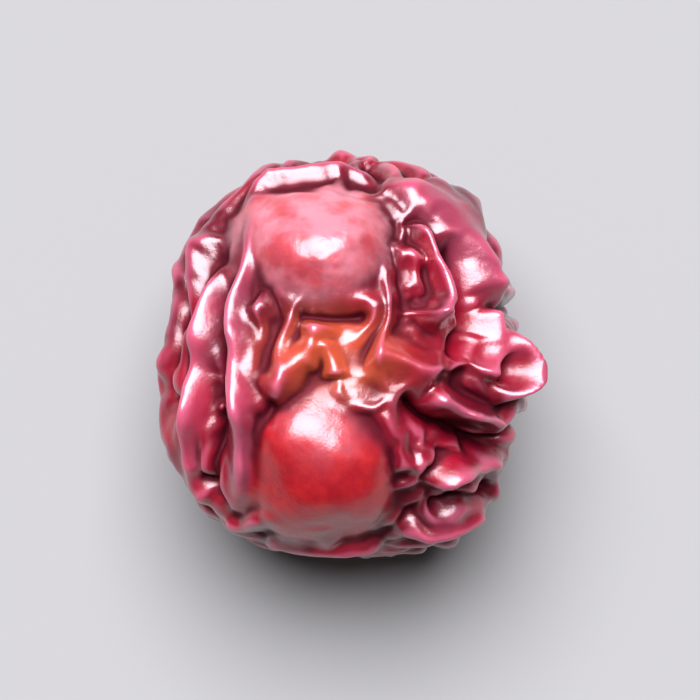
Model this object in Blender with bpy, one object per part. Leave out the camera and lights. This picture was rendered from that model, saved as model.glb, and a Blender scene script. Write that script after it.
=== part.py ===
"""A dried schisandra berry at its real size, lying on its side, as one solid.

Metres, +Z up. The origin is on the surface that the berry rests on, under the middle of its box.
+Y is the berry's long axis and points to the end where its stalk was, +Z is its crown.
The skin has shrunk onto two seeds. They lift it in two smooth domes on the crown, one behind the
other, and the loose skin round them has gathered into pleats, ruffles and a net of fine crests.
"""

import math
import random

import bmesh
import bpy
import numpy as np
from mathutils import Vector, noise

MM = 0.001

# The berry's real size over its folds, in millimetres
WIDTH = 6.4
LENGTH = 7.0
HEIGHT = 5.2

# The plump body under the folds, before the skin is drawn in: half sizes in millimetres
HALF_WIDTH = 2.75
HALF_LENGTH = 3.3
HALF_HEIGHT = 2.35
SQUARENESS = 2.12
TAPER = 0.10
LUMPS = 0.26
LUMP_SIZE = 2.4

# How the loose skin lies, in millimetres
SAG = 0.30
CREASE_ROUNDING = 0.04
FOLD_FILLET = 4.0
DOME_BLEND = 0.34
WAVER = 0.13
WAVER_SIZE = 0.8
UNEVENNESS = 0.45
LEAN = 0.40
LEAN_SIZE = 1.5

# The net of crests between the folds: cells that wander, drawn out along the folds near them
NET_CELL = 0.95
NET_HEIGHT = 0.28
NET_HALF_WIDTH = 0.30
NET_ROUNDING = 0.12
NET_GIVES_WAY = 0.6
WANDER = 0.34
WANDER_SIZE = 0.9
LENGTHWISE = (1.0, 0.55, 1.0)
CROSSWISE = (0.55, 1.15, 0.60)
CROSS_FROM = 0.7
CROSS_OVER = 1.3
SADDLE_AT = (-0.30, -0.36)
SADDLE_RADIUS = 0.9
SADDLE_CALM = 0.7

# The flat spot that it rests on is cut this far above its lowest fold, in millimetres
REST_CUT = 0.16
REST_CALM = 0.6

SPHERE_LEVEL = 7
TRIANGLES_KEPT = 0.135
SEED = 7
WANDER_SEED = 4

# Seeds under the crown that hold the skin up: their middles and half sizes
SEEDS = (
    {"at": (-0.28, 1.20, 0.78), "half": (1.50, 1.30, 1.58)},
    {"at": (-0.30, -1.86, 0.70), "half": (1.36, 1.34, 1.60)},
)
TIGHT_REACH = 0.70
SEED_DENTS = 0.16
SEED_DENT_SIZE = 1.0

# Tucks where the skin comes down off a seed. They climb its foot and run outwards.
TUCKS = 5
TUCK_REACH = (1.05, 1.95)
TUCK_HEIGHT = 0.30
TUCK_HALF_WIDTH = 0.19

# Broad hollows where the bag of skin has sunk in: roll about the long axis in degrees, the share of
# the way along it, radius and depth
HOLLOWS = (
    (200.0, 0.30, 1.7, 0.50),
    (322.0, -0.25, 1.6, 0.42),
    (335.0, 0.60, 1.2, 0.34),
    (150.0, -0.55, 1.2, 0.24),
    (255.0, -0.70, 1.4, 0.36),
    (80.0, 0.93, 1.0, 0.30),
)

# Folds on the crown, each by its height, half width and the places that its crest passes through.
# Places are seen from above, in millimetres from the middle, +X to the right and +Y to the stalk's end.
CROWN_RIDGES = {
    "inner_left_pleat": (
        0.48,
        0.22,
        [(-1.18, 2.12), (-1.55, 1.20), (-1.66, 0.25), (-1.56, -0.95), (-1.56, -2.03), (-1.40, -3.11)],
    ),
    "outer_left_pleat": (0.52, 0.21, [(-1.98, 1.37), (-2.26, 0.05), (-2.28, -1.31), (-2.05, -2.45)]),
    "far_rim": (0.40, 0.27, [(-1.80, 1.90), (-1.35, 2.44), (-0.60, 2.78), (0.20, 2.84), (0.80, 2.67)]),
    "right_rim": (0.56, 0.42, [(0.60, 2.75), (1.35, 2.32), (1.95, 1.76), (2.30, 1.11), (2.48, 0.44)]),
    "inner_right_fold": (0.38, 0.19, [(1.20, 1.99), (1.52, 1.30), (1.62, 0.63), (1.30, 0.03)]),
    "right_crest": (0.50, 0.22, [(2.25, 0.62), (2.30, -0.09), (2.10, -0.70)]),
    "upper_ruffle": (0.54, 0.18, [(1.30, -0.97), (1.90, -1.16), (2.42, -1.31)]),
    "middle_ruffle": (0.52, 0.19, [(1.20, -2.40), (1.60, -2.18), (2.05, -1.94), (2.40, -1.89)]),
    "lower_ruffle": (0.48, 0.20, [(0.85, -3.06), (1.40, -2.82), (1.90, -2.58)]),
    "saddle_left": (0.24, 0.24, [(-1.30, -1.08), (-0.84, -0.56), (-0.30, -0.25)]),
    "saddle_right": (0.26, 0.24, [(0.35, -0.31), (1.02, -0.51), (1.55, -0.69)]),
    "near_rim": (0.30, 0.24, [(-1.20, -3.05), (-0.30, -3.33), (0.70, -3.27)]),
}
CROWN_CREASES = {
    "between_left_pleats": (0.42, 0.14, [(-1.86, 1.13), (-1.95, 0.00), (-1.92, -1.38), (-1.74, -2.70)]),
    "beside_near_dome": (0.26, 0.14, [(-1.12, -1.08), (-1.26, -2.02), (-1.05, -2.93)]),
    "under_far_dome": (0.22, 0.10, [(-0.72, 0.36), (-0.19, 0.24), (0.36, 0.30)]),
    "deep_right": (0.50, 0.12, [(0.90, -0.94), (1.30, -1.43), (1.86, -1.63), (2.45, -1.63)]),
    "inside_right_rim": (0.40, 0.12, [(1.72, 1.71), (1.94, 0.93), (1.94, 0.20), (1.72, -0.48)]),
    "behind_far_dome": (0.34, 0.14, [(-1.40, 1.67), (-0.98, 2.19), (-0.20, 2.36), (0.60, 2.21)]),
    "between_ruffles": (0.42, 0.11, [(1.15, -2.73), (1.66, -2.46), (2.25, -2.23)]),
}

# The curl of skin that stands out at the right: the middle of its dimple, its ring and its depth
CURL_AT = (2.40, -0.42)
CURL_SQUASH = (1.0, 1.0, 1.7)
CURL_RADIUS = 0.40
CURL_HALF_WIDTH = 0.24
CURL_RIDGE = 1.0
CURL_DEPTH = 0.42
CURL_BEND = 2.6
# Its skin is torn loose on the lower side, which stands out as a lip, and lies low towards the crown
CURL_LIP_TURN = -70.0
CURL_LIP_SHARE = 0.36

# Pleats of the flanks and the underside. They run lengthwise and gather at both ends. On the right
# they turn and run down the side, from the ruffles of the crown.
PLEATS_ROUND = 19
PLEAT_PITCH = 0.92
PLEAT_SLANT = 0.55
PLEAT_HEIGHT = 0.50
PLEAT_ROUNDNESS = 0.62
PLEAT_STRAY = 1.5
PLEAT_STRAY_SIZE = 1.9
PLEAT_BRANCH = 1.3
PLEAT_BRANCH_SIZE = 1.0
CROWN_EDGE = (0.75, 1.75)
ROUTE_STEPS = 14
FOLD_END = 0.22

# The scar of the stalk, puckered, on the far end a little below the middle
SCAR_DIRECTION = (0.10, 1.0, -0.22)
SCAR_RADIUS = 0.34
SCAR_DEPTH = 0.42
PUCKERS = 9
PUCKER_LENGTH = 0.95
PUCKER_HEIGHT = 0.24
PUCKER_HALF_WIDTH = 0.15


def smooth_step(share):
    share = np.clip(share, 0.0, 1.0)
    return share * share * (3.0 - 2.0 * share)


def smooth_highest(a, b, blend):
    """The higher of two heights, with a small fillet where they cross."""
    return 0.5 * (a + b + np.sqrt((a - b) ** 2 + blend**2))


def gathered(heights):
    """The highest of many folds, none below zero, with a fillet where two cross."""
    return sum(height**FOLD_FILLET for height in heights) ** (1.0 / FOLD_FILLET)


def body_point(direction):
    """Where a ray from the middle meets the plump body: a rounded box with the half sizes above."""
    halves = np.array([HALF_WIDTH, HALF_LENGTH, HALF_HEIGHT])
    reach = (np.abs(direction / halves) ** SQUARENESS).sum(axis=-1) ** (-1.0 / SQUARENESS)
    place = direction * reach[..., None]
    slim = 1.0 - TAPER * place[..., 1:2] / HALF_LENGTH
    return place * np.concatenate([slim, np.ones_like(slim), 1.0 + 0.4 * (slim - 1.0)], axis=-1)


def on_crown(x, y):
    """The direction of a place that is seen from above at x, y millimetres from the middle."""
    share = min(0.985, abs(x / HALF_WIDTH) ** SQUARENESS + abs(y / HALF_LENGTH) ** SQUARENESS)
    up = HALF_HEIGHT * (1.0 - share) ** (1.0 / SQUARENESS)
    return np.array([x, y, up]) / math.hypot(x, y, up)


def rolled(roll, along):
    """The direction at a roll about the long axis (0 right, 90 crown, 270 under) and a share of the way
    from the near end, -1, to the stalk's end, 1."""
    turn = math.radians(roll)
    lean = math.asin(max(-1.0, min(1.0, along)))
    return np.array([math.cos(turn) * math.cos(lean), math.sin(lean), math.sin(turn) * math.cos(lean)])


def route_through(directions):
    """A smooth route on the body through the given directions (a Catmull-Rom spline)."""
    d = np.array([directions[0], *directions, directions[-1]])
    found = []
    for i in range(len(directions) - 1):
        a, b, c, e = d[i : i + 4]
        for t in np.arange(ROUTE_STEPS) / ROUTE_STEPS:
            curved = (2 * a - 5 * b + 4 * c - e) * t**2 + (3 * b - a - 3 * c + e) * t**3
            found.append(b + 0.5 * ((c - a) * t + curved))
    found.append(d[-1])
    found = np.array(found)
    return body_point(found / np.linalg.norm(found, axis=1)[:, None])


def nearest_on(route, points):
    """How far each point is from the route, and the share of the way along it of the nearest place."""
    gap = np.full(len(points), np.inf)
    along = np.zeros(len(points))
    steps = len(route) - 1
    for i in range(steps):
        run = route[i + 1] - route[i]
        share = np.clip((points - route[i]) @ run / (run @ run), 0.0, 1.0)
        away = np.linalg.norm(points - route[i] - share[:, None] * run, axis=1)
        closer = away < gap
        gap[closer] = away[closer]
        along[closer] = (i + share[closer]) / steps
    return gap, along


def faded(along):
    return smooth_step(along / FOLD_END) * smooth_step((1.0 - along) / FOLD_END)


def ridge(points, height, half_width, route):
    """The height of a rounded fold over each point. It fades out at both ends."""
    gap, along = nearest_on(route, points)
    return height * faded(along) * np.exp(-((gap / half_width) ** 2))


def crease(points, depth, half_width, route):
    """The depth of a sharp groove at each point. It fades out at both ends."""
    gap, along = nearest_on(route, points)
    side = np.sqrt(gap**2 + CREASE_ROUNDING**2) - CREASE_ROUNDING
    return depth * faded(along) * np.exp(-side / half_width)


def puckers(rng):
    """Short folds that gather the skin into the stalk's scar: (height, half width, route)."""
    scar = Vector(SCAR_DIRECTION).normalized()
    across = scar.orthogonal().normalized()
    reach = PUCKER_LENGTH / HALF_LENGTH
    found = []
    for i in range(PUCKERS):
        turn = math.tau * (i + rng.uniform(-0.2, 0.2)) / PUCKERS
        side = across * math.cos(turn) + scar.cross(across) * math.sin(turn)
        stations = [
            np.array((scar + side * reach * share).normalized())
            for share in (0.22, 0.6, rng.uniform(0.8, 1.2))
        ]
        found.append((PUCKER_HEIGHT, PUCKER_HALF_WIDTH, route_through(stations)))
    return found


def tucks(rng):
    """Short folds that run outwards from the foot of each dome: (height, half width, route)."""
    found = []
    inner, outer = TUCK_REACH
    for seed in SEEDS:
        x, y = seed["at"][:2]
        for i in range(TUCKS):
            turn = math.tau * (i + rng.uniform(-0.3, 0.3)) / TUCKS
            bend = rng.uniform(-0.35, 0.35)
            far = outer * rng.uniform(0.75, 1.1)
            stations = []
            for share in (0.0, 0.5, 1.0):
                reach = inner + (far - inner) * share
                swung = turn + bend * share
                stations.append(on_crown(x + reach * math.cos(swung), y + reach * math.sin(swung)))
            found.append((TUCK_HEIGHT * rng.uniform(0.5, 1.0), TUCK_HALF_WIDTH, route_through(stations)))
    return found


def drawn_folds():
    """All ridges and all creases, each as (height, half width, route)."""
    rng = random.Random(SEED)
    ridges, creases = (
        [(height, half_width, route_through([on_crown(*place) for place in places]))
         for height, half_width, places in drawn.values()]
        for drawn in (CROWN_RIDGES, CROWN_CREASES)
    )
    return ridges + puckers(rng) + tucks(rng), creases


def net(points, stretch):
    """Crests along the borders of wandering cells that are drawn out by the given shares."""
    heights = np.empty(len(points))
    for i, point in enumerate(points):
        shifted = Vector(point) + WANDER * noise.noise_vector(Vector(point) / WANDER_SIZE)
        near, second = noise.voronoi(Vector(np.multiply(shifted, stretch)) / NET_CELL)[0][:2]
        heights[i] = (second - near) * NET_CELL
    side = np.sqrt(heights**2 + NET_ROUNDING**2) - NET_ROUNDING
    return NET_HEIGHT * np.exp(-side / NET_HALF_WIDTH)


def net_relief(points):
    """The net of crests: lengthwise on the left and below, crosswise where the right side is ruffled.

    It is nearly smooth on the saddle between the two seeds.
    """
    cross = smooth_step((points[:, 0] - CROSS_FROM) / CROSS_OVER)
    gap = np.linalg.norm(points - body_point(on_crown(*SADDLE_AT)[None, :])[0], axis=1)
    rough = 1.0 - SADDLE_CALM * np.exp(-((gap / SADDLE_RADIUS) ** 2))
    return rough * (net(points, LENGTHWISE) * (1.0 - cross) + net(points, CROSSWISE) * cross)


def lumps(points, size):
    return np.array([noise.noise(Vector(point) / size) for point in points])


def pleat_relief(points):
    """Rounded pleats with narrow grooves between them, everywhere but on the crown."""
    x, y, z = points.T
    stray = PLEAT_STRAY * lumps(points, PLEAT_STRAY_SIZE) + PLEAT_BRANCH * lumps(points, PLEAT_BRANCH_SIZE)
    roll = np.arctan2(z * HALF_WIDTH / HALF_HEIGHT, x)
    drawn_in = np.minimum(1.0, np.hypot(x, z) / (0.85 * HALF_HEIGHT)) ** 1.4
    lengthwise = drawn_in * np.abs(np.cos(0.5 * PLEATS_ROUND * roll + stray)) ** PLEAT_ROUNDNESS
    slanted = (y + PLEAT_SLANT * z) / PLEAT_PITCH
    crosswise = np.abs(np.cos(math.pi * slanted + 2.0 * stray)) ** PLEAT_ROUNDNESS
    cross = smooth_step((x - CROSS_FROM) / CROSS_OVER) * smooth_step((z + 1.6) / 1.2)
    below = 1.0 - smooth_step((z - CROWN_EDGE[0]) / (CROWN_EDGE[1] - CROWN_EDGE[0]))
    deeper = 1.0 + UNEVENNESS * lumps(points + 5.0, 1.2)
    return PLEAT_HEIGHT * deeper * below * (lengthwise * (1.0 - cross) + crosswise * cross)


def hollow_depth(points):
    depth = np.zeros(len(points))
    for roll, along, radius, deep in HOLLOWS:
        middle = body_point(rolled(roll, along)[None, :])[0]
        depth += deep * np.exp(-(((points - middle) ** 2).sum(axis=1) / radius**2))
    return depth


def seed_height(points, outward, seed):
    """Where a line out of the skin leaves the seed; where it misses, well below, falling away."""
    half = np.array(seed["half"])
    start = (points - np.array(seed["at"])) / half
    step = outward / half
    a = (step**2).sum(axis=1)
    b = (start * step).sum(axis=1)
    c = (start**2).sum(axis=1) - 1.0
    inside = b**2 - a * c
    return (-b + np.sqrt(np.maximum(inside, 0.0))) / a + np.minimum(inside, 0.0)


def curl_relief(points):
    """A ring of skin that stands out from the right side, its dimple, and the share left of other folds."""
    away = (points - body_point(on_crown(*CURL_AT)[None, :])[0]) * CURL_SQUASH
    gap = np.linalg.norm(away, axis=1)
    ring = CURL_RIDGE * np.exp(-(((gap - CURL_RADIUS) / CURL_HALF_WIDTH) ** 2))
    turn = np.arctan2(away[:, 2], away[:, 1]) - math.radians(CURL_LIP_TURN)
    ring *= 1.0 - CURL_LIP_SHARE * (1.0 - np.cos(turn))
    dimple = CURL_DEPTH * np.exp(-((gap / (0.6 * CURL_RADIUS)) ** 2))
    return ring, dimple, smooth_step(gap / CURL_RADIUS)


def scar_relief(points):
    middle = body_point(np.array(Vector(SCAR_DIRECTION).normalized())[None, :])[0]
    gap = np.linalg.norm(points - middle, axis=1)
    return SCAR_DEPTH * np.exp(-((gap / SCAR_RADIUS) ** 2))


def wavered(points):
    return points + WAVER * np.array([noise.noise_vector(Vector(point) / WAVER_SIZE) for point in points])


def relief(points, outward):
    """How far the skin stands off the plump body at each point, in millimetres."""
    ridges, creases = drawn_folds()
    seeds = np.max([seed_height(points, outward, seed) for seed in SEEDS], axis=0)
    seeds += SEED_DENTS * lumps(points, SEED_DENT_SIZE)
    loose = smooth_step((0.10 - seeds) / TIGHT_REACH)
    strayed = wavered(points)
    uneven = 1.0 + UNEVENNESS * lumps(points, WAVER_SIZE)
    ring, dimple, clear = curl_relief(points + CURL_BEND * (strayed - points))
    folds = [clear * uneven * ridge(strayed, *fold) for fold in ridges]
    skin = gathered([pleat_relief(points) * loose * clear, uneven * ring, *folds])
    skin += net_relief(points) * loose * (1.0 - NET_GIVES_WAY * np.minimum(1.0, skin / PLEAT_HEIGHT))
    for fold in creases:
        skin -= crease(strayed, *fold)
    skin -= SAG + dimple + scar_relief(points) + hollow_depth(points)
    return smooth_highest(skin, seeds, DOME_BLEND)


def shrunken_skin(directions):
    """The skin's points in millimetres, round the middle of the plump body."""
    noise.seed_set(WANDER_SEED)
    body = body_point(directions)
    halves = np.array([HALF_WIDTH, HALF_LENGTH, HALF_HEIGHT])
    outward = np.sign(body) * np.abs(body / halves) ** (SQUARENESS - 1.0) / halves
    outward /= np.linalg.norm(outward, axis=1)[:, None]
    calm = smooth_step((body[:, 2] + HALF_HEIGHT) / REST_CALM)
    height = relief(body, outward) * (0.35 + 0.65 * calm) + LUMPS * lumps(body, LUMP_SIZE)
    sway = np.array([noise.noise_vector(Vector(point) / LEAN_SIZE) for point in body])
    sway -= (sway * outward).sum(axis=1)[:, None] * outward
    return body + outward * height[:, None] + sway * (LEAN * (height + SAG))[:, None]


def sized(points):
    """The points scaled to the berry's real size and set on the origin."""
    low, high = points.min(axis=0), points.max(axis=0)
    scale = np.array([WIDTH, LENGTH, HEIGHT + REST_CUT]) / (high - low)
    middle = (low + high) / 2
    placed = (points - middle) * scale
    placed[:, 2] += (HEIGHT + REST_CUT) / 2 - REST_CUT
    return placed


def leather_red():
    """Dried berry skin: dark crimson, oily, with a soft shine."""
    material = bpy.data.materials.new("dried_berry_skin")
    material.use_nodes = True
    shader = material.node_tree.nodes["Principled BSDF"]
    shader.inputs["Base Color"].default_value = (0.24, 0.012, 0.022, 1.0)
    shader.inputs["Roughness"].default_value = 0.35
    material.diffuse_color = (0.24, 0.012, 0.022, 1.0)
    return material


def make_berry():
    """The berry as one object: a sphere's mesh moved onto the shrunken skin."""
    mesh = bpy.data.meshes.new("berry")
    shell = bmesh.new()
    bmesh.ops.create_icosphere(shell, subdivisions=SPHERE_LEVEL, radius=1.0)
    directions = np.array([v.co.normalized() for v in shell.verts])
    for vertex, place in zip(shell.verts, sized(shrunken_skin(directions)) * MM, strict=True):
        vertex.co = place
    shell.to_mesh(mesh)
    shell.free()
    mesh.shade_smooth()
    berry = bpy.data.objects.new("berry", mesh)
    berry.data.materials.append(leather_red())
    bpy.context.scene.collection.objects.link(berry)
    return berry


def make_floor_cutter():
    """A block below the surface that the berry rests on, which cuts its flat spot."""
    mesh = bpy.data.meshes.new("floor_cutter")
    block = bmesh.new()
    bmesh.ops.create_cube(block, size=2 * LENGTH * MM)
    bmesh.ops.translate(block, verts=block.verts, vec=(0.0, 0.0, -LENGTH * MM))
    block.to_mesh(mesh)
    block.free()
    cutter = bpy.data.objects.new("floor_cutter", mesh)
    cutter.hide_render = True
    cutter.display_type = "WIRE"
    bpy.context.scene.collection.objects.link(cutter)
    return cutter


def main():
    for obj in list(bpy.data.objects):
        bpy.data.objects.remove(obj)
    berry = make_berry()
    fewer = berry.modifiers.new("fewer_faces", "DECIMATE")
    fewer.ratio = TRIANGLES_KEPT
    rest = berry.modifiers.new("flat_spot", "BOOLEAN")
    rest.operation = "DIFFERENCE"
    rest.object = make_floor_cutter()


main()
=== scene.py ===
"""The looks of a dried schisandra berry: its wrinkled, oily skin drawn over two seeds.

Lengths in the shape functions are millimetres. Everything handed to Blender is metres.
The large folds are the solid's own, from the same named values. The fine wrinkles come from letting
that skin grow a little too big for the flesh under it, so that it buckles as a drying skin does.
"""

import math
import random

import bpy
import numpy as np
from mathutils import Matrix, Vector, noise


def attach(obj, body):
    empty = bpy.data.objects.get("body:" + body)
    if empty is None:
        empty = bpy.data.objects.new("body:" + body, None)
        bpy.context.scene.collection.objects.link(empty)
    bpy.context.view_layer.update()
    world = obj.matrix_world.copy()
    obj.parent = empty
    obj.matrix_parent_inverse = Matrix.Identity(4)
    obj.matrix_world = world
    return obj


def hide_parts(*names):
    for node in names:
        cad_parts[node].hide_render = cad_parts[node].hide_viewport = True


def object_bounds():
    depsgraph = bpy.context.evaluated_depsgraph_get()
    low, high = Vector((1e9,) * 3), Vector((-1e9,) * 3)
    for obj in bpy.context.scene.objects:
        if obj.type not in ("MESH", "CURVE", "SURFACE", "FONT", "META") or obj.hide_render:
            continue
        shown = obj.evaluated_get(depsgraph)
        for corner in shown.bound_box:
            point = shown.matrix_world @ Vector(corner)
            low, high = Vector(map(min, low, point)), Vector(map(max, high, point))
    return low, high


MM = 0.001

# The berry's real size over its folds
WIDTH = 6.4
LENGTH = 7.0
HEIGHT = 5.2

# The plump body under the folds, before the skin is drawn in: half sizes, how square it is, how much it
# narrows to the stalk's end and how much of that its height shares, and its lumps
HALF_WIDTH = 2.75
HALF_LENGTH = 3.3
HALF_HEIGHT = 2.35
SQUARENESS = 2.12
TAPER = 0.10
TAPER_IN_HEIGHT = 0.4
LUMPS = 0.26
LUMP_SIZE = 2.4

# The furthest out that a place on the crown may lie, 1 being the body's widest line
CROWN_RIM = 0.985

# How the loose skin lies: how far it has sunk, how creases and the meetings of folds and domes are
# rounded, and how its folds waver, vary in height and lean over
SAG = 0.30
CREASE_ROUNDING = 0.04
FOLD_FILLET = 4.0
DOME_BLEND = 0.34
WAVER = 0.13
WAVER_SIZE = 0.8
UNEVENNESS = 0.45
LEAN = 0.40
LEAN_SIZE = 1.5

# The net of crests between the folds: cells that wander, drawn out along the folds near them
NET_CELL = 0.95
NET_HEIGHT = 0.28
NET_HALF_WIDTH = 0.30
NET_ROUNDING = 0.12
NET_GIVES_WAY = 0.6
WANDER = 0.34
WANDER_SIZE = 0.9
LENGTHWISE = (1.0, 0.55, 1.0)
CROSSWISE = (0.55, 1.15, 0.60)
CROSS_FROM = 0.7
CROSS_OVER = 1.3
SADDLE_AT = (-0.30, -0.36)
SADDLE_RADIUS = 0.9
SADDLE_CALM = 0.7

# The flat spot that it rests on lies this far above its lowest fold. The folds start from a share of
# their height at the bottom of the body, and have all of it a little higher up
REST_CUT = 0.16
REST_CALM = 0.6
REST_FOLDS = 0.35

# Seeds of the random draws and of the noise
SEED = 7
WANDER_SEED = 4

# Seeds under the crown that hold the skin up: their middles and half sizes
SEEDS = (
    {"at": (-0.28, 1.20, 0.78), "half": (1.50, 1.30, 1.58)},
    {"at": (-0.30, -1.86, 0.70), "half": (1.36, 1.34, 1.60)},
)

# The skin is tight where a seed stands this far out of the plump body, and loose where it stands lower by
# the reach
TIGHT_FROM = 0.10
TIGHT_REACH = 0.70
SEED_DENTS = 0.16
SEED_DENT_SIZE = 1.0

# Tucks where the skin comes down off a seed. They climb its foot and run outwards. They stray from even
# spacing by a share of it, bend in radians, and differ in length and height
TUCKS = 5
TUCK_REACH = (1.05, 1.95)
TUCK_HEIGHT = 0.30
TUCK_HALF_WIDTH = 0.19
TUCK_STRAY = 0.3
TUCK_BEND = 0.35
TUCK_LENGTHS = (0.75, 1.1)
TUCK_HEIGHTS = (0.5, 1.0)

# Broad hollows where the bag of skin has sunk in: roll about the long axis in degrees, the share of
# the way along it, radius and depth
HOLLOWS = (
    (200.0, 0.30, 1.7, 0.50),
    (322.0, -0.25, 1.6, 0.42),
    (335.0, 0.60, 1.2, 0.34),
    (150.0, -0.55, 1.2, 0.24),
    (255.0, -0.70, 1.4, 0.36),
    (80.0, 0.93, 1.0, 0.30),
)

# Folds on the crown, each by its height, half width and the places that its crest passes through.
# Places are seen from above, in millimetres from the middle, +X to the right and +Y to the stalk's end.
CROWN_RIDGES = {
    "inner_left_pleat": (
        0.48,
        0.22,
        [(-1.18, 2.12), (-1.55, 1.20), (-1.66, 0.25), (-1.56, -0.95), (-1.56, -2.03), (-1.40, -3.11)],
    ),
    "outer_left_pleat": (0.52, 0.21, [(-1.98, 1.37), (-2.26, 0.05), (-2.28, -1.31), (-2.05, -2.45)]),
    "far_rim": (0.40, 0.27, [(-1.80, 1.90), (-1.35, 2.44), (-0.60, 2.78), (0.20, 2.84), (0.80, 2.67)]),
    "right_rim": (0.56, 0.42, [(0.60, 2.75), (1.35, 2.32), (1.95, 1.76), (2.30, 1.11), (2.48, 0.44)]),
    "inner_right_fold": (0.38, 0.19, [(1.20, 1.99), (1.52, 1.30), (1.62, 0.63), (1.30, 0.03)]),
    "right_crest": (0.50, 0.22, [(2.25, 0.62), (2.30, -0.09), (2.10, -0.70)]),
    "upper_ruffle": (0.54, 0.18, [(1.30, -0.97), (1.90, -1.16), (2.42, -1.31)]),
    "middle_ruffle": (0.52, 0.19, [(1.20, -2.40), (1.60, -2.18), (2.05, -1.94), (2.40, -1.89)]),
    "lower_ruffle": (0.48, 0.20, [(0.85, -3.06), (1.40, -2.82), (1.90, -2.58)]),
    "saddle_left": (0.24, 0.24, [(-1.30, -1.08), (-0.84, -0.56), (-0.30, -0.25)]),
    "saddle_right": (0.26, 0.24, [(0.35, -0.31), (1.02, -0.51), (1.55, -0.69)]),
    "near_rim": (0.30, 0.24, [(-1.20, -3.05), (-0.30, -3.33), (0.70, -3.27)]),
}
CROWN_CREASES = {
    "between_left_pleats": (0.42, 0.14, [(-1.86, 1.13), (-1.95, 0.00), (-1.92, -1.38), (-1.74, -2.70)]),
    "beside_near_dome": (0.26, 0.14, [(-1.12, -1.08), (-1.26, -2.02), (-1.05, -2.93)]),
    "under_far_dome": (0.22, 0.10, [(-0.72, 0.36), (-0.19, 0.24), (0.36, 0.30)]),
    "deep_right": (0.50, 0.12, [(0.90, -0.94), (1.30, -1.43), (1.86, -1.63), (2.45, -1.63)]),
    "inside_right_rim": (0.40, 0.12, [(1.72, 1.71), (1.94, 0.93), (1.94, 0.20), (1.72, -0.48)]),
    "behind_far_dome": (0.34, 0.14, [(-1.40, 1.67), (-0.98, 2.19), (-0.20, 2.36), (0.60, 2.21)]),
    "between_ruffles": (0.42, 0.11, [(1.15, -2.73), (1.66, -2.46), (2.25, -2.23)]),
}

# The curl of skin that stands out at the right: the middle of its dimple, its ring, its depth, the
# dimple's share of the ring's radius, and how many times as much as other folds it wavers
CURL_AT = (2.40, -0.42)
CURL_SQUASH = (1.0, 1.0, 1.7)
CURL_RADIUS = 0.40
CURL_HALF_WIDTH = 0.24
CURL_RIDGE = 1.0
CURL_DEPTH = 0.42
CURL_HOLLOW = 0.6
CURL_BEND = 2.6
# Its skin is torn loose on the lower side, which stands out as a lip, and lies low towards the crown
CURL_LIP_TURN = -70.0
CURL_LIP_SHARE = 0.36

# Pleats of the flanks and the underside. They run lengthwise and gather at both ends. On the right
# they turn and run down the side, from the ruffles of the crown.
PLEATS_ROUND = 19
PLEAT_PITCH = 0.92
PLEAT_SLANT = 0.55
PLEAT_HEIGHT = 0.50
PLEAT_ROUNDNESS = 0.62
PLEAT_STRAY = 1.5
PLEAT_STRAY_SIZE = 1.9
PLEAT_BRANCH = 1.3
PLEAT_BRANCH_SIZE = 1.0
PLEAT_GATHER_REACH = 0.85
PLEAT_GATHER_POWER = 1.4
PLEAT_PATCH_SIZE = 1.2
PLEAT_PATCH_SHIFT = 5.0
CROSS_STRAY = 2.0
CROSS_LOWEST = -1.6
CROSS_RISE = 1.2
CROWN_EDGE = (0.75, 1.75)

# How a drawn fold is laid: steps from one of its places to the next, the share of its length over which
# an end fades, and how many half widths away it is still felt
ROUTE_STEPS = 14
FOLD_END = 0.22
RIDGE_REACH = 4
CREASE_REACH = 9

# The scar of the stalk, puckered, on the far end a little below the middle
SCAR_DIRECTION = (0.10, 1.0, -0.22)
SCAR_RADIUS = 0.34
SCAR_DEPTH = 0.42
PUCKERS = 9
PUCKER_LENGTH = 0.95
PUCKER_HEIGHT = 0.24
PUCKER_HALF_WIDTH = 0.15
PUCKER_STRAY = 0.2
PUCKER_STATIONS = (0.22, 0.6)
PUCKER_ENDS = (0.8, 1.2)

# Where the flesh shows through amber, on the saddle between the seeds: its middle and half sizes
AMBER_AT = (-0.30, -0.45, 4.6)
AMBER_REACH = (1.30, 0.85, 1.4)

# A painted highlight on the near seed's crown, a pale patch as the far seed has all over: its middle,
# radius and share
NEAR_PAINTED_HIGHLIGHT_AT = (-0.38, -1.45, 4.9)
NEAR_PAINTED_HIGHLIGHT_RADIUS = 0.62
NEAR_PAINTED_HIGHLIGHT = 0.65

# The fine skin. Each side of a cube is cut into this many cells a row and blown up into a ball
CELLS = 64

# How much longer the skin has grown than the flesh under it, as a share of its length: loose skin in the
# broad wrinkles and in the fine ones, and skin that the far and the near seed hold tight
LOOSE_GROWTH = 0.06
FINE_LOOSE_GROWTH = 0.13
FAR_SEED_GROWTH = 0.075
NEAR_SEED_GROWTH = 0.03

# Growth is patchy: by how much it strays, the size of its patches and a shift of the noise
LOOSE_PATCHES = (0.6, 1.4, 0.0)
FINE_LOOSE_PATCHES = (0.5, 1.0, 9.0)
SEED_PATCHES = (0.9, 0.5, 3.0)

# The far seed's skin starts at this place along the berry, and the change takes this long
FAR_FROM = -0.5
FAR_RISE = 0.5

# Loose skin grows less on the crests of folds, on the saddle and at the bottom. A crest is told by how
# far it stands off the skin as smoothed over many rounds
CREST_CALM = 0.4
CREST_ROUNDS = 120
CREST_FROM = -0.02
CREST_RISE = 0.22
SADDLE_GROWTH_CALM = 0.8
BOTTOM_GROWTH = 0.3
BOTTOM_FROM = -0.1
BOTTOM_RISE = 0.5

# Folds that are broad and taut, so that few wrinkles cross them, how far out of their half width that
# holds, and the share that they lose there
BROAD_FOLDS = ("right_rim", "right_crest", "inner_left_pleat", "outer_left_pleat")
BROAD_REACH = 1.3
BROAD_CALM = 0.8

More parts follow.
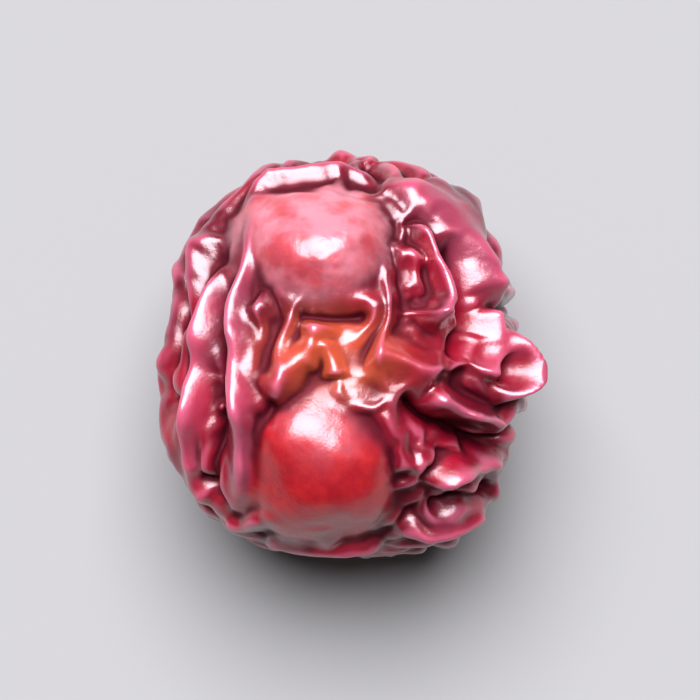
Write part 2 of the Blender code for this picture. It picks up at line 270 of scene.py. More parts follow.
# The skin buckles twice, into broad wrinkles and then on cells half the size into fine ones. Each time
# has its rounds, how stiff the skin is, how hard the bed holds it against being pushed in, lifting out
# and sliding, and the seed of its first unevenness
BROAD_BUCKLING = {
    "rounds": 220,
    "stiffness": 0.20,
    "bed_in": 0.010,
    "bed_out": 0.006,
    "grip": 0.004,
    "seed": 3,
}
FINE_BUCKLING = {
    "rounds": 200,
    "stiffness": 0.28,
    "bed_in": 0.010,
    "bed_out": 0.007,
    "grip": 0.003,
    "seed": 5,
}

# In each round a point goes this share of the way that its neighbours push it, and no length is zero.
# The skin starts a little uneven, from point to point and, before the fine wrinkles, in lumps
PUSH_SHARE = 0.9
SMALLEST_LENGTH = 1e-9
FIRST_UNEVENNESS = 0.006
FIRST_LUMPS = 0.010
FIRST_LUMP_SIZE = 0.33

# Rounds of smoothing for the finished skin, and for where a seed shows through it
SKIN_SMOOTHING = 3
SEED_SMOOTHING = 6

# What the material reads as crests and valleys, of folds and of wrinkles, for its painted highlights and
# painted
# shade: how far they stand off the skin smoothed over so many rounds, and how far counts in full
CREST_SCALES = {"fold": (160, 0.16), "wrinkle": (24, 0.05)}

# The studio: how wide the window looks in degrees, its strength and the way that its light falls, the
# room's strength on the berry and to the camera, and the floor's side in metres
WINDOW_WIDTH = 54
WINDOW_STRENGTH = 12.0
WINDOW_AIM = (2, -16, -37)
ROOM_LIGHT = 0.13
ROOM_SEEN = 0.85
FLOOR_SIDE = 0.6

# The camera: the degrees that it looks down by, its lens in millimetres, and the share of the picture's
# side that the berry's length takes
CAMERA_TILT = 80
CAMERA_LENS = 135
BERRY_SHARE = 0.60


def smooth_step(share):
    share = np.clip(share, 0.0, 1.0)
    return share * share * (3.0 - 2.0 * share)


def smooth_highest(a, b, blend):
    """The higher of two heights, with a small fillet where they cross."""
    return 0.5 * (a + b + np.sqrt((a - b) ** 2 + blend**2))


def gathered(heights):
    """The highest of many folds, none below zero, with a fillet where two cross."""
    return sum(height**FOLD_FILLET for height in heights) ** (1.0 / FOLD_FILLET)


def body_point(direction):
    """Where a ray from the middle meets the plump body: a rounded box with the half sizes above."""
    halves = np.array([HALF_WIDTH, HALF_LENGTH, HALF_HEIGHT])
    reach = (np.abs(direction / halves) ** SQUARENESS).sum(axis=-1) ** (-1.0 / SQUARENESS)
    place = direction * reach[..., None]
    slim = 1.0 - TAPER * place[..., 1:2] / HALF_LENGTH
    return place * np.concatenate([slim, np.ones_like(slim), 1.0 + TAPER_IN_HEIGHT * (slim - 1.0)], axis=-1)


def on_crown(x, y):
    """The direction of a place that is seen from above at x, y millimetres from the middle."""
    share = min(CROWN_RIM, abs(x / HALF_WIDTH) ** SQUARENESS + abs(y / HALF_LENGTH) ** SQUARENESS)
    up = HALF_HEIGHT * (1.0 - share) ** (1.0 / SQUARENESS)
    return np.array([x, y, up]) / math.hypot(x, y, up)


def rolled(roll, along):
    """The direction at a roll about the long axis (0 right, 90 crown, 270 under) and a share of the way
    from the near end, -1, to the stalk's end, 1."""
    turn = math.radians(roll)
    lean = math.asin(max(-1.0, min(1.0, along)))
    return np.array([math.cos(turn) * math.cos(lean), math.sin(lean), math.sin(turn) * math.cos(lean)])


def route_through(directions):
    """A smooth route on the body through the given directions (a Catmull-Rom spline)."""
    d = np.array([directions[0], *directions, directions[-1]])
    found = []
    for i in range(len(directions) - 1):
        a, b, c, e = d[i : i + 4]
        for t in np.arange(ROUTE_STEPS) / ROUTE_STEPS:
            curved = (2 * a - 5 * b + 4 * c - e) * t**2 + (3 * b - a - 3 * c + e) * t**3
            found.append(b + 0.5 * ((c - a) * t + curved))
    found.append(d[-1])
    found = np.array(found)
    return body_point(found / np.linalg.norm(found, axis=1)[:, None])


def nearest_on(route, points):
    """How far each point is from the route, and the share of the way along it of the nearest place."""
    gap = np.full(len(points), np.inf)
    along = np.zeros(len(points))
    steps = len(route) - 1
    for i in range(steps):
        run = route[i + 1] - route[i]
        share = np.clip((points - route[i]) @ run / (run @ run), 0.0, 1.0)
        away = np.linalg.norm(points - route[i] - share[:, None] * run, axis=1)
        closer = away < gap
        gap[closer] = away[closer]
        along[closer] = (i + share[closer]) / steps
    return gap, along


def faded(along):
    return smooth_step(along / FOLD_END) * smooth_step((1.0 - along) / FOLD_END)


def near_to(points, route, reach):
    """Which points can lie within reach of a route, judged by the ball round it."""
    middle = (route.min(axis=0) + route.max(axis=0)) / 2
    radius = np.linalg.norm(route - middle, axis=1).max()
    return np.linalg.norm(points - middle, axis=1) < radius + reach


def ridge(points, height, half_width, route):
    """The height of a rounded fold over each point. It fades out at both ends."""
    found = np.zeros(len(points))
    close = near_to(points, route, RIDGE_REACH * half_width)
    gap, along = nearest_on(route, points[close])
    found[close] = height * faded(along) * np.exp(-((gap / half_width) ** 2))
    return found


def crease(points, depth, half_width, route):
    """The depth of a sharp groove at each point. It fades out at both ends."""
    found = np.zeros(len(points))
    close = near_to(points, route, CREASE_REACH * half_width)
    gap, along = nearest_on(route, points[close])
    side = np.sqrt(gap**2 + CREASE_ROUNDING**2) - CREASE_ROUNDING
    found[close] = depth * faded(along) * np.exp(-side / half_width)
    return found


def puckers(rng):
    """Short folds that gather the skin into the stalk's scar: (height, half width, route)."""
    scar = Vector(SCAR_DIRECTION).normalized()
    across = scar.orthogonal().normalized()
    reach = PUCKER_LENGTH / HALF_LENGTH
    found = []
    for i in range(PUCKERS):
        turn = math.tau * (i + rng.uniform(-PUCKER_STRAY, PUCKER_STRAY)) / PUCKERS
        side = across * math.cos(turn) + scar.cross(across) * math.sin(turn)
        stations = [
            np.array((scar + side * reach * share).normalized())
            for share in (*PUCKER_STATIONS, rng.uniform(*PUCKER_ENDS))
        ]
        found.append((PUCKER_HEIGHT, PUCKER_HALF_WIDTH, route_through(stations)))
    return found


def tucks(rng):
    """Short folds that run outwards from the foot of each dome: (height, half width, route)."""
    found = []
    inner, outer = TUCK_REACH
    for seed in SEEDS:
        x, y = seed["at"][:2]
        for i in range(TUCKS):
            turn = math.tau * (i + rng.uniform(-TUCK_STRAY, TUCK_STRAY)) / TUCKS
            bend = rng.uniform(-TUCK_BEND, TUCK_BEND)
            far = outer * rng.uniform(*TUCK_LENGTHS)
            stations = []
            for share in (0.0, 0.5, 1.0):
                reach = inner + (far - inner) * share
                swung = turn + bend * share
                stations.append(on_crown(x + reach * math.cos(swung), y + reach * math.sin(swung)))
            height = TUCK_HEIGHT * rng.uniform(*TUCK_HEIGHTS)
            found.append((height, TUCK_HALF_WIDTH, route_through(stations)))
    return found


def drawn_folds():
    """All ridges and all creases, each as (height, half width, route)."""
    rng = random.Random(SEED)
    ridges, creases = (
        [(height, half_width, route_through([on_crown(*place) for place in places]))
         for height, half_width, places in drawn.values()]
        for drawn in (CROWN_RIDGES, CROWN_CREASES)
    )
    return ridges + puckers(rng) + tucks(rng), creases


def net(points, stretch):
    """Crests along the borders of wandering cells that are drawn out by the given shares."""
    heights = np.empty(len(points))
    for i, point in enumerate(points):
        shifted = Vector(point) + WANDER * noise.noise_vector(Vector(point) / WANDER_SIZE)
        near, second = noise.voronoi(Vector(np.multiply(shifted, stretch)) / NET_CELL)[0][:2]
        heights[i] = (second - near) * NET_CELL
    side = np.sqrt(heights**2 + NET_ROUNDING**2) - NET_ROUNDING
    return NET_HEIGHT * np.exp(-side / NET_HALF_WIDTH)


def net_relief(points):
    """The net of crests: lengthwise on the left and below, crosswise where the right side is ruffled.

    It is nearly smooth on the saddle between the two seeds.
    """
    cross = smooth_step((points[:, 0] - CROSS_FROM) / CROSS_OVER)
    gap = np.linalg.norm(points - body_point(on_crown(*SADDLE_AT)[None, :])[0], axis=1)
    rough = 1.0 - SADDLE_CALM * np.exp(-((gap / SADDLE_RADIUS) ** 2))
    return rough * (net(points, LENGTHWISE) * (1.0 - cross) + net(points, CROSSWISE) * cross)


def lumps(points, size):
    return np.array([noise.noise(Vector(point) / size) for point in points])


def patchy(points, strength, size, shift):
    """Shares round 1 that stray by a strength in patches of a size. A shift gives each use its own."""
    return 1.0 + strength * lumps(points + shift, size)


def pleat_relief(points):
    """Rounded pleats with narrow grooves between them, everywhere but on the crown."""
    x, y, z = points.T
    stray = PLEAT_STRAY * lumps(points, PLEAT_STRAY_SIZE) + PLEAT_BRANCH * lumps(points, PLEAT_BRANCH_SIZE)
    roll = np.arctan2(z * HALF_WIDTH / HALF_HEIGHT, x)
    off_axis = np.hypot(x, z) / (PLEAT_GATHER_REACH * HALF_HEIGHT)
    drawn_in = np.minimum(1.0, off_axis) ** PLEAT_GATHER_POWER
    lengthwise = drawn_in * np.abs(np.cos(0.5 * PLEATS_ROUND * roll + stray)) ** PLEAT_ROUNDNESS
    slanted = (y + PLEAT_SLANT * z) / PLEAT_PITCH
    crosswise = np.abs(np.cos(math.pi * slanted + CROSS_STRAY * stray)) ** PLEAT_ROUNDNESS
    cross = smooth_step((x - CROSS_FROM) / CROSS_OVER) * smooth_step((z - CROSS_LOWEST) / CROSS_RISE)
    below = 1.0 - smooth_step((z - CROWN_EDGE[0]) / (CROWN_EDGE[1] - CROWN_EDGE[0]))
    deeper = patchy(points, UNEVENNESS, PLEAT_PATCH_SIZE, PLEAT_PATCH_SHIFT)
    return PLEAT_HEIGHT * deeper * below * (lengthwise * (1.0 - cross) + crosswise * cross)


def hollow_depth(points):
    depth = np.zeros(len(points))
    for roll, along, radius, deep in HOLLOWS:
        middle = body_point(rolled(roll, along)[None, :])[0]
        depth += deep * np.exp(-(((points - middle) ** 2).sum(axis=1) / radius**2))
    return depth


def seed_height(points, outward, seed):
    """Where a line out of the skin leaves the seed; where it misses, well below, falling away."""
    half = np.array(seed["half"])
    start = (points - np.array(seed["at"])) / half
    step = outward / half
    a = (step**2).sum(axis=1)
    b = (start * step).sum(axis=1)
    c = (start**2).sum(axis=1) - 1.0
    inside = b**2 - a * c
    return (-b + np.sqrt(np.maximum(inside, 0.0))) / a + np.minimum(inside, 0.0)


def curl_relief(points):
    """A ring of skin that stands out from the right side, its dimple, and the share left of other folds."""
    away = (points - body_point(on_crown(*CURL_AT)[None, :])[0]) * CURL_SQUASH
    gap = np.linalg.norm(away, axis=1)
    ring = CURL_RIDGE * np.exp(-(((gap - CURL_RADIUS) / CURL_HALF_WIDTH) ** 2))
    turn = np.arctan2(away[:, 2], away[:, 1]) - math.radians(CURL_LIP_TURN)
    ring *= 1.0 - CURL_LIP_SHARE * (1.0 - np.cos(turn))
    dimple = CURL_DEPTH * np.exp(-((gap / (CURL_HOLLOW * CURL_RADIUS)) ** 2))
    return ring, dimple, smooth_step(gap / CURL_RADIUS)


def scar_relief(points):
    middle = body_point(np.array(Vector(SCAR_DIRECTION).normalized())[None, :])[0]
    gap = np.linalg.norm(points - middle, axis=1)
    return SCAR_DEPTH * np.exp(-((gap / SCAR_RADIUS) ** 2))


def wavered(points):
    return points + WAVER * np.array([noise.noise_vector(Vector(point) / WAVER_SIZE) for point in points])


def relief(points, outward):
    """How far the skin stands off the plump body at each point, and how tightly a seed holds it."""
    ridges, creases = drawn_folds()
    seeds = np.max([seed_height(points, outward, seed) for seed in SEEDS], axis=0)
    seeds += SEED_DENTS * lumps(points, SEED_DENT_SIZE)
    loose = smooth_step((TIGHT_FROM - seeds) / TIGHT_REACH)
    strayed = wavered(points)
    uneven = 1.0 + UNEVENNESS * lumps(points, WAVER_SIZE)
    ring, dimple, clear = curl_relief(points + CURL_BEND * (strayed - points))
    folds = [clear * uneven * ridge(strayed, *fold) for fold in ridges]
    skin = gathered([pleat_relief(points) * loose * clear, uneven * ring, *folds])
    skin += net_relief(points) * loose * (1.0 - NET_GIVES_WAY * np.minimum(1.0, skin / PLEAT_HEIGHT))
    for fold in creases:
        skin -= crease(strayed, *fold)
    skin -= SAG + dimple + scar_relief(points) + hollow_depth(points)
    tight = smooth_step((seeds - skin + 0.5 * DOME_BLEND) / (2.0 * DOME_BLEND))
    return smooth_highest(skin, seeds, DOME_BLEND), tight


def broad_share(points):
    """How near each point lies to the crest of a fold that is broad and taut, 1 on the crest."""
    found = np.zeros(len(points))
    for name in BROAD_FOLDS:
        _, half_width, places = CROWN_RIDGES[name]
        route = route_through([on_crown(*place) for place in places])
        found = np.maximum(found, ridge(points, 1.0, BROAD_REACH * half_width, route))
    return found


def shrunken_skin(directions):
    """The skin's points round the middle of the plump body, how tightly a seed holds each, and how near
    each lies to the crest of a broad fold."""
    noise.seed_set(WANDER_SEED)
    body = body_point(directions)
    halves = np.array([HALF_WIDTH, HALF_LENGTH, HALF_HEIGHT])
    outward = np.sign(body) * np.abs(body / halves) ** (SQUARENESS - 1.0) / halves
    outward /= np.linalg.norm(outward, axis=1)[:, None]
    calm = smooth_step((body[:, 2] + HALF_HEIGHT) / REST_CALM)
    height, tight = relief(body, outward)
    height = height * (REST_FOLDS + (1.0 - REST_FOLDS) * calm) + LUMPS * lumps(body, LUMP_SIZE)
    sway = np.array([noise.noise_vector(Vector(point) / LEAN_SIZE) for point in body])
    sway -= (sway * outward).sum(axis=1)[:, None] * outward
    skin = body + outward * height[:, None] + sway * (LEAN * (height + SAG))[:, None]
    return skin, tight, broad_share(wavered(body))


def sized(points):
    """The points scaled to the berry's real size and set on the origin."""
    low, high = points.min(axis=0), points.max(axis=0)
    scale = np.array([WIDTH, LENGTH, HEIGHT + REST_CUT]) / (high - low)
    middle = (low + high) / 2
    placed = (points - middle) * scale
    placed[:, 2] += (HEIGHT + REST_CUT) / 2 - REST_CUT
    return placed


# The ball of cells that the skin is laid on


def deselect_all():
    bpy.ops.object.select_all(action="DESELECT")


def places_of(mesh):
    places = np.empty(len(mesh.vertices) * 3)
    mesh.vertices.foreach_get("co", places)
    return places.reshape(-1, 3)


def ball_of_cells():
    """A cube cut into cells and blown up into a ball, with its cells evened out."""
    deselect_all()
    bpy.ops.mesh.primitive_cube_add(size=2)
    ball = bpy.context.object
    bpy.ops.object.mode_set(mode="EDIT")
    bpy.ops.mesh.select_all(action="SELECT")
    bpy.ops.mesh.subdivide(number_cuts=CELLS - 1)
    bpy.ops.object.mode_set(mode="OBJECT")
    even = np.tan(places_of(ball.data) * math.pi / 4)
    ball.data.vertices.foreach_set("co", (even / np.linalg.norm(even, axis=1)[:, None]).ravel())
    return ball


def on_finer_cells(ball, field):
    """A field of places, one to each corner of the ball's cells, carried over to cells half the size."""
    kept = places_of(ball.data)
    ball.data.vertices.foreach_set("co", field.ravel())
    ball.data.update()
    finer = ball.modifiers.new("finer", "SUBSURF")
    finer.levels = finer.render_levels = 1
    graph = bpy.context.evaluated_depsgraph_get()
    found = places_of(ball.evaluated_get(graph).data)
    ball.modifiers.remove(finer)
    ball.data.vertices.foreach_set("co", kept.ravel())
    ball.data.update()
    return found


def halve_cells(ball):
    """Cuts each of the ball's cells in four, with its corners back on the ball."""
    deselect_all()
    ball.select_set(True)
    bpy.context.view_layer.objects.active = ball
    finer = ball.modifiers.new("finer", "SUBSURF")
    finer.levels = finer.render_levels = 1
    bpy.ops.object.modifier_apply(modifier=finer.name)
    places = places_of(ball.data)
    ball.data.vertices.foreach_set("co", (places / np.linalg.norm(places, axis=1)[:, None]).ravel())
    ball.data.update()


# The skin buckles


def pairs_of(mesh):
    """The mesh's edges, the diagonals of its four-sided faces, and those faces."""
    edges = np.empty(len(mesh.edges) * 2, dtype=np.int32)
    mesh.edges.foreach_get("vertices", edges)
    faces = np.empty(len(mesh.loops), dtype=np.int32)
    mesh.loops.foreach_get("vertex_index", faces)
    faces = faces.reshape(-1, 4)
    return edges.reshape(-1, 2), np.concatenate([faces[:, [0, 2]], faces[:, [1, 3]]]), faces


def neighbours(pairs, count):
    """Four neighbours of each point. One that is missing is the point itself."""
    both = np.concatenate([pairs, pairs[:, ::-1]])
    both = both[np.argsort(both[:, 0], kind="stable")]
    rank = np.arange(len(both)) - np.searchsorted(both[:, 0], np.arange(count))[both[:, 0]]
    found = np.repeat(np.arange(count)[:, None], 4, axis=1)
    found[both[:, 0], rank] = both[:, 1]
    return found


def outward_of(places, faces):
    """The skin's outward direction at each point."""
    a, b, c, d = (places[faces[:, i]] for i in range(4))
    slope = np.cross(c - a, d - b)
    total = np.zeros_like(places)
    for corner in range(4):
        for axis in range(3):
            total[:, axis] += np.bincount(faces[:, corner], weights=slope[:, axis], minlength=len(places))
    return total / np.linalg.norm(total, axis=1)[:, None]


def buckled(places, mesh, growth, rounds, stiffness, bed_in, bed_out, grip, seed):
    """The places after the skin has grown by a share of its length on a soft bed.

    It pushes its neighbours away, resists bending by its stiffness, and the bed holds it: against being
    pushed in, against lifting out, and against sliding.
    """
    edges, diagonals, faces = pairs_of(mesh)
    near = neighbours(edges, len(places))
    around = np.concatenate([near, neighbours(diagonals, len(places))], axis=1)
    outward = outward_of(places, faces)
    rest = np.linalg.norm(places[around] - places[:, None], axis=2)
    real = rest > 0
    rest *= 1.0 + 0.5 * (growth[around] + growth[:, None])
    rest[~real] = 1.0
    share = PUSH_SHARE * real / real.sum(axis=1)[:, None]
    start_off = np.random.default_rng(seed).normal(0.0, FIRST_UNEVENNESS, len(places))
    skin = places + outward * start_off[:, None]
    for _ in range(rounds):
        run = skin[around] - skin[:, None]
        length = np.sqrt(np.einsum("ijk,ijk->ij", run, run)) + SMALLEST_LENGTH
        skin = skin + np.einsum("ij,ijk->ik", (length - rest) / length * share, run)
        moved = skin - places
        bent = moved[near].mean(axis=1) - moved
        skin -= stiffness * (bent[near].mean(axis=1) - bent)
        moved = skin - places
        out = np.einsum("ij,ij->i", moved, outward)
        hold = np.where(out > 0, bed_out, bed_in) - grip
        skin -= (hold * out)[:, None] * outward + grip * moved
    return skin


def blurred(values, near, rounds):
    for _ in range(rounds):
        values = 0.5 * values + 0.5 * values[near].mean(axis=1)
    return values


def standing_off(places, near, faces, rounds):
    """How far each point stands off the skin as it would lie with its finer folds smoothed away."""
    return np.einsum("ij,ij->i", places - blurred(places, near, rounds), outward_of(places, faces))


def write_attribute(mesh, name, values):
    layer = mesh.attributes.new(name, "FLOAT", "POINT")
    layer.data.foreach_set("value", np.clip(values, 0.0, 1.0).astype(np.float32))


def looseness(base, tight, broad, amber, near, faces):
    """How freely the skin grows at each point, 1 where nothing holds it."""
    calm = smooth_step((base[:, 2] - BOTTOM_FROM) / BOTTOM_RISE)
    crest = smooth_step((standing_off(base, near, faces, CREST_ROUNDS) - CREST_FROM) / CREST_RISE)
    loose = (1.0 - tight) * (BOTTOM_GROWTH + (1.0 - BOTTOM_GROWTH) * calm)
    loose = loose * (1.0 - CREST_CALM * crest) * (1.0 - BROAD_CALM * broad)
    return loose * (1.0 - SADDLE_GROWTH_CALM * amber)


def with_broad_wrinkles(base, coarse, loose):
    """The skin after it has buckled on the coarse cells, whose corners come first among the fine ones."""
    part = slice(0, len(coarse.vertices))
    growth = LOOSE_GROWTH * patchy(base, *LOOSE_PATCHES) * loose
    grown = buckled(base[part], coarse, growth[part], **BROAD_BUCKLING)
    carrier = bpy.data.objects.new("carrier", coarse)
    bpy.context.scene.collection.objects.link(carrier)
    skin = base + on_finer_cells(carrier, grown - base[part])
    bpy.data.objects.remove(carrier)
    return skin


def with_fine_wrinkles(start, base, mesh, tight, loose, far, faces):
    """The skin after it has buckled on the fine cells, more over the far seed than over the near one."""
    held = (NEAR_SEED_GROWTH + (FAR_SEED_GROWTH - NEAR_SEED_GROWTH) * far) * patchy(base, *SEED_PATCHES)
    growth = held * tight + FINE_LOOSE_GROWTH * patchy(base, *FINE_LOOSE_PATCHES) * loose
    first = FIRST_LUMPS * lumps(base, FIRST_LUMP_SIZE)
    start = start + outward_of(base, faces) * first[:, None]
    return buckled(start, mesh, np.maximum(growth, 0.0), **FINE_BUCKLING)


def fitted(skin, box):
    """The skin set flat on the floor and kept inside the solid's own box."""
    skin[:, 2] = np.maximum(skin[:, 2], 0.0)
    low, high = (np.array(corner) / MM for corner in box)
    reach = skin.max(axis=0) - skin.min(axis=0)
    return low + (skin - skin.min(axis=0)) * np.minimum(1.0, (high - low) / reach)


def make_skin(box):
    """The berry's whole skin as one closed piece, with what its material reads at each point."""
    ball = ball_of_cells()
    coarse = ball.data.copy()
    halve_cells(ball)
    mesh = ball.data
    base, tight, broad = shrunken_skin(places_of(mesh))
    base = sized(base)
    edges, _, faces = pairs_of(mesh)
    near = neighbours(edges, len(base))

    gap = np.linalg.norm((base - AMBER_AT) / AMBER_REACH, axis=1)
    amber = np.exp(-(gap**2))
    far = smooth_step((base[:, 1] - FAR_FROM) / FAR_RISE)
    loose = looseness(base, tight, broad, amber, near, faces)
    skin = with_broad_wrinkles(base, coarse, loose)
    skin = with_fine_wrinkles(skin, base, mesh, tight, loose, far, faces)
    skin = fitted(blurred(skin, near, SKIN_SMOOTHING), box)
    mesh.vertices.foreach_set("co", (skin * MM).ravel())
    mesh.update()

    for name, (rounds, full) in CREST_SCALES.items():
        write_attribute(mesh, name, 0.5 + 0.5 * standing_off(skin, near, faces, rounds) / full)
    over_seed = blurred(tight, near, SEED_SMOOTHING)
    write_attribute(mesh, "over_seed", over_seed)
    # Over the seeds: the far seed's pale bloom, partly a painted highlight, and a painted highlight on the
    # near seed's crown
    gap = np.linalg.norm(skin - NEAR_PAINTED_HIGHLIGHT_AT, axis=1) / NEAR_PAINTED_HIGHLIGHT_RADIUS
    write_attribute(mesh, "bloom_and_painted_highlight", over_seed * np.maximum(far, NEAR_PAINTED_HIGHLIGHT * np.exp(-(gap**2))))
    write_attribute(mesh, "amber", amber)
    write_attribute(mesh, "broad", broad)
    mesh.shade_smooth()
    ball.name = mesh.name = "skin"
    return ball


# Materials


def srgb(code):
    """A hex colour such as #8a1020 as the linear numbers that the shader takes."""
    parts = [int(code[i : i + 2], 16) / 255 for i in (1, 3, 5)]
    return (*[c / 12.92 if c <= 0.04045 else ((c + 0.055) / 1.055) ** 2.4 for c in parts], 1.0)


def add_node(tree, kind, links=None, **settings):
    """A node with its settings and what is linked to its inputs, each a socket or a plain value."""
    node = tree.nodes.new(kind)
    for name, value in settings.items():
        setattr(node, name, value)
    for key, value in (links or {}).items():
        if isinstance(value, bpy.types.NodeSocket):
            tree.links.new(value, node.inputs[key])
        else:
            node.inputs[key].default_value = value
    return node


def new_material(name):
    material = bpy.data.materials.new(name)
    material.use_nodes = True
    tree = material.node_tree
    shader = tree.nodes["Principled BSDF"]
    return material, tree, shader


def mixed(tree, share, low, high):
    """One colour over another by a share."""
    node = add_node(tree, "ShaderNodeMix", {0: share, 6: low, 7: high}, data_type="RGBA")
    return node.outputs[2]


def ranged(tree, value, low, high, to_low=0.0, to_high=1.0):
    """A value's range stretched to another, and held at its ends."""
    inputs = {"Value": value, "From Min": low, "From Max": high, "To Min": to_low, "To Max": to_high}
    return add_node(tree, "ShaderNodeMapRange", inputs, interpolation_type="SMOOTHSTEP").outputs["Result"]


def patches(tree, place, size_mm, detail=3.0, roughness=0.55):
    """Soft cloudy patches about size_mm across."""
    inputs = {"Vector": place, "Scale": 1.0 / (size_mm * MM), "Detail": detail, "Roughness": roughness}
    return add_node(tree, "ShaderNodeTexNoise", inputs).outputs["Fac"]


def dried_skin():
    """Dried berry skin: shrunken by drying, thin and tough, with its own oil on it.

    To the eye it is dark crimson and glossy, a brighter red where a seed is close under it and amber where
    the flesh shows through. Painted shade makes it nearly black down in the folds, where no oil shines, and
    painted highlights make it paler along the crests and over the seeds, mixed with a pale bloom on the far
    seed. A little light comes from inside, and a fine grain breaks up the gloss.
    """
    material, tree, shader = new_material("dried_berry_skin")
    place = add_node(tree, "ShaderNodeTexCoord").outputs["Object"]
    fold, wrinkle, over_seed, bloom_and_painted_highlight, amber, broad = (
        add_node(tree, "ShaderNodeAttribute", attribute_name=name).outputs["Fac"]
        for name in ("fold", "wrinkle", "over_seed", "bloom_and_painted_highlight", "amber", "broad")
    )
    cloud = patches(tree, place, 1.6)
    speckle = patches(tree, place, 0.28, 4.0, 0.65)
    hidden = ranged(tree, fold, 0.54, 0.26)

    # The red: clouds and purplish patches, seeds under it, painted highlights on broad folds and seeds,
    # bloom and flesh
    color = mixed(tree, ranged(tree, cloud, 0.38, 0.62), srgb("#4c0415"), srgb("#78071c"))
    dark = ranged(tree, patches(tree, place, 2.3, 2.0), 0.54, 0.68, 0.0, 0.5)
    color = mixed(tree, dark, color, srgb("#340511"))
    seed_red = mixed(tree, ranged(tree, speckle, 0.35, 0.70), srgb("#840412"), srgb("#961012"))
    color = mixed(tree, ranged(tree, over_seed, 0.25, 0.95), color, seed_red)
    # A painted highlight: paler pink along the crests of the broad, taut folds
    color = mixed(tree, ranged(tree, broad, 0.25, 1.0, 0.0, 0.32), color, srgb("#b04c66"))
    # A pale bloom over the far seed, partly a painted highlight, and a painted highlight on the near seed's
    # crown
    cloudy = ranged(tree, patches(tree, place, 0.7), 0.32, 0.62, 0.15, 0.6)
    bloom_and_highlight = add_node(tree, "ShaderNodeMath", {0: bloom_and_painted_highlight, 1: cloudy}, operation="MULTIPLY")
    color = mixed(tree, bloom_and_highlight.outputs[0], color, srgb("#b47c88"))
    color = mixed(tree, ranged(tree, amber, 0.1, 1.0, 0.0, 0.5), color, srgb("#bc5228"))
    # Painted shade, nearly black, deep in the folds and in the wrinkles, and painted highlights, paler,
    # along the crests of both
    color = mixed(tree, ranged(tree, hidden, 0.0, 1.0, 0.0, 0.92), color, srgb("#28020a"))
    color = mixed(tree, ranged(tree, wrinkle, 0.45, 0.12, 0.0, 0.65), color, srgb("#30020a"))
    color = mixed(tree, ranged(tree, fold, 0.62, 0.95, 0.0, 0.25), color, srgb("#b04460"))
    color = mixed(tree, ranged(tree, wrinkle, 0.62, 0.95, 0.0, 0.28), color, srgb("#c0647e"))

    rough = ranged(tree, speckle, 0.3, 0.7, 0.32, 0.46)
    for rougher, by in ((bloom_and_painted_highlight, 0.14), (hidden, 0.25)):
        inputs = {0: rougher, 1: by, 2: rough}
        rough = add_node(tree, "ShaderNodeMath", inputs, operation="MULTIPLY_ADD").outputs[0]
    tree.links.new(color, shader.inputs["Base Color"])
    tree.links.new(rough, shader.inputs["Roughness"])
    # The tint, and the oil's index further down, are matched to the berry's look. A plant oil has 1.47
    shader.inputs["IOR"].default_value = 1.46
    shader.inputs["Specular Tint"].default_value = srgb("#ff7a88")
    # Red light comes from furthest inside
    shader.inputs["Subsurface Weight"].default_value = 0.25
    shader.inputs["Subsurface Radius"].default_value = (1.0, 0.18, 0.12)
    shader.inputs["Subsurface Scale"].default_value = 0.28 * MM

    # The oil lies on the open skin, a little thinner over the seeds and not deep in the folds
    in_open = ranged(tree, hidden, 0.0, 0.8, 1.0, 0.0)
    off_seed = ranged(tree, over_seed, 0.25, 0.95, 1.0, 0.85)
    oily = add_node(tree, "ShaderNodeMath", {0: in_open, 1: off_seed}, operation="MULTIPLY")
    tree.links.new(oily.outputs[0], shader.inputs["Coat Weight"])
    shader.inputs["Coat Roughness"].default_value = 0.26
    shader.inputs["Coat IOR"].default_value = 1.6
    grain = patches(tree, place, 0.11, 3.0, 0.6)
    inputs = {"Strength": 0.35, "Distance": 0.02 * MM, "Height": grain}
    bump = add_node(tree, "ShaderNodeBump", inputs)
    for name in ("Normal", "Coat Normal"):
        tree.links.new(bump.outputs["Normal"], shader.inputs[name])
    return material


def pale_floor():
    """Matt pale card: uncoated and rough, so it is an even soft grey without a shine."""
    material, _, shader = new_material("matt_pale_card")
    shader.inputs["Base Color"].default_value = srgb("#7c7a78")
    shader.inputs["Roughness"].default_value = 0.9
    return material


# The studio


def add_floor():
    deselect_all()
    bpy.ops.mesh.primitive_plane_add(size=FLOOR_SIDE)
    floor = bpy.context.object
    floor.name = "floor"
    floor.data.materials.append(pale_floor())


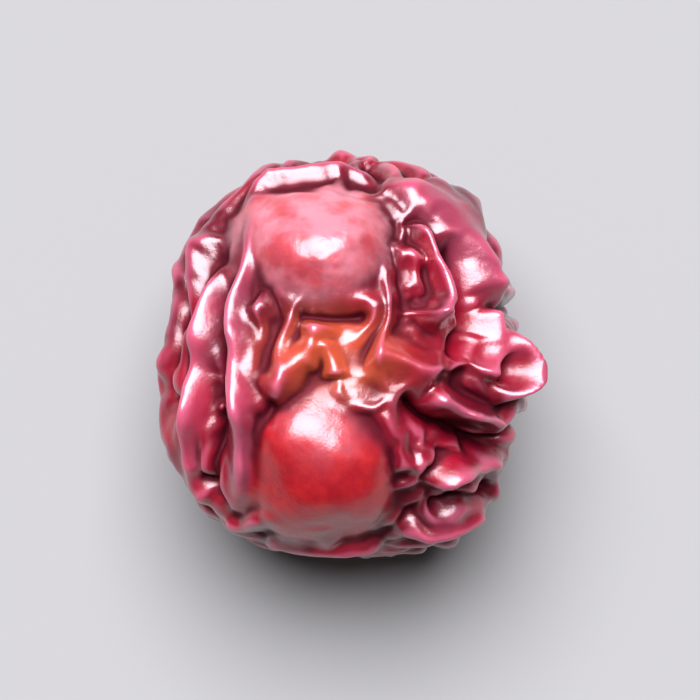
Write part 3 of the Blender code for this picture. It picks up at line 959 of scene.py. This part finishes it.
def add_lights():
    """A wide soft window far off, high behind the berry, and a pale room that shows behind the floor."""
    light = bpy.data.lights.new("window", "SUN")
    light.angle = math.radians(WINDOW_WIDTH)
    light.energy = WINDOW_STRENGTH
    light.color = srgb("#f4f6ff")[:3]
    lamp = bpy.data.objects.new("window", light)
    lamp.rotation_euler = Vector(WINDOW_AIM).to_track_quat("-Z", "Y").to_euler()
    bpy.context.scene.collection.objects.link(lamp)
    world = bpy.data.worlds.new("pale_room")
    world.use_nodes = True
    tree = world.node_tree
    seen = add_node(tree, "ShaderNodeLightPath").outputs["Is Camera Ray"]
    inputs = {"Value": seen, "To Min": ROOM_LIGHT, "To Max": ROOM_SEEN}
    strength = add_node(tree, "ShaderNodeMapRange", inputs)
    room = tree.nodes["Background"]
    room.inputs["Color"].default_value = srgb("#f6f6f8")
    tree.links.new(strength.outputs["Result"], room.inputs["Strength"])
    bpy.context.scene.world = world


def add_camera(box):
    """Nearly straight down on the crown, far off with a long lens."""
    lens = bpy.data.cameras.new("camera")
    lens.lens = CAMERA_LENS
    middle = (Vector(box[0]) + Vector(box[1])) / 2
    tilt = math.radians(CAMERA_TILT)
    away = Vector((0.0, -math.cos(tilt), math.sin(tilt)))
    frame_width = LENGTH * MM / BERRY_SHARE
    camera = bpy.data.objects.new("camera", lens)
    camera.location = middle + away * frame_width * lens.lens / lens.sensor_width
    camera.rotation_euler = (-away).to_track_quat("-Z", "Y").to_euler()
    lens.clip_start = 0.001
    lens.clip_end = 1.0
    bpy.context.scene.collection.objects.link(camera)
    bpy.context.scene.camera = camera


def set_view():
    bpy.context.scene.view_settings.view_transform = "Standard"
    bpy.context.scene.view_settings.look = "None"


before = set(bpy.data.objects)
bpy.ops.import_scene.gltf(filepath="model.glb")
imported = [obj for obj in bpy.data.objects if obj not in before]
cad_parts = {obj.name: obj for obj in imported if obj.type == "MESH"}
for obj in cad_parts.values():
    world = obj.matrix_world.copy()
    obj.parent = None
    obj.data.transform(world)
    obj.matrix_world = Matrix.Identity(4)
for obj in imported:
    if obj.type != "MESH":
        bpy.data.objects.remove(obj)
solid_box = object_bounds()
skin = make_skin(solid_box)
skin.data.materials.append(dried_skin())
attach(skin, "root")
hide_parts("berry")
add_floor()
add_lights()
add_camera(solid_box)
set_view()
